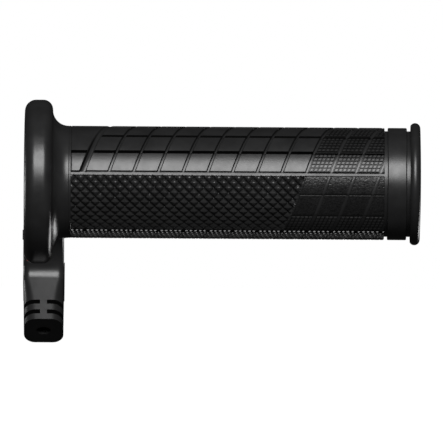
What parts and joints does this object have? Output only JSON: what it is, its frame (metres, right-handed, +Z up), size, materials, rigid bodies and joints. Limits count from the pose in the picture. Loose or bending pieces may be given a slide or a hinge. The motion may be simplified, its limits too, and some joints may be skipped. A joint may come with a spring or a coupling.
{
  "type": "heated throttle grip",
  "caption": "Heated right-hand twist grip for a motorcycle throttle, with patterned rubber, a flange, an end bead and a slotted lead boot under the flange.",
  "frame": {"origin": "handlebar axis at the inner end of the bar liner, level with the flange's back face", "axes": "+X along the handlebar from the flange to the end bead, +Z up, the rider on the -Y side"},
  "size_m": [0.1278, 0.0526, 0.0779],
  "materials": {
    "liner": "low-friction acetal, satin",
    "tube": "glass-filled nylon, fine moulded grain",
    "seal": "soft black rubber",
    "amber_film": "polyimide film, glossy amber",
    "track": "etched copper alloy foil",
    "sensor": "dark sensor bead",
    "tinned": "tinned copper",
    "wire_red": "red insulation",
    "wire_black": "black insulation",
    "wire_yellow": "yellow insulation",
    "sleeving": "shrunk sleeving",
    "grip_rubber": "black moulded rubber with a low sheen",
    "outlet_plastic": "black moulded plastic",
    "gasket_rubber": "red silicone",
    "clamp_brass": "plain brass",
    "boot_rubber": "black flexible rubber"
  },
  "bodies": {
    "bar_side": {"bar_liner": "liner", "thrust_washer": "liner"},
    "grip": {"throttle_tube": "tube", "dust_seal": "seal", "heater_backing_film": "amber_film", "heater_track": "track", "heater_cover_film": "amber_film", "thermistor": "sensor", "solder_pads": "tinned", "wire_positive": "wire_red", "wire_negative": "wire_black", "wire_sensor": "wire_yellow", "butt_splices": "tinned", "splice_sleeves": "sleeving", "grip_sleeve": "grip_rubber", "flange_collar": "grip_rubber", "end_cap": "grip_rubber", "outlet_housing": "outlet_plastic", "outlet_cover": "outlet_plastic", "cover_gasket": "gasket_rubber", "lead_clamp": "clamp_brass", "lead_boot": "boot_rubber"}
  },
  "joints": [
    {"name": "throttle_twist", "type": "hinge", "parent": "bar_side", "child": "grip", "pos_m": [0, 0, 0], "axis": [1, 0, 0], "range_deg": [0, 80]}
  ]
}
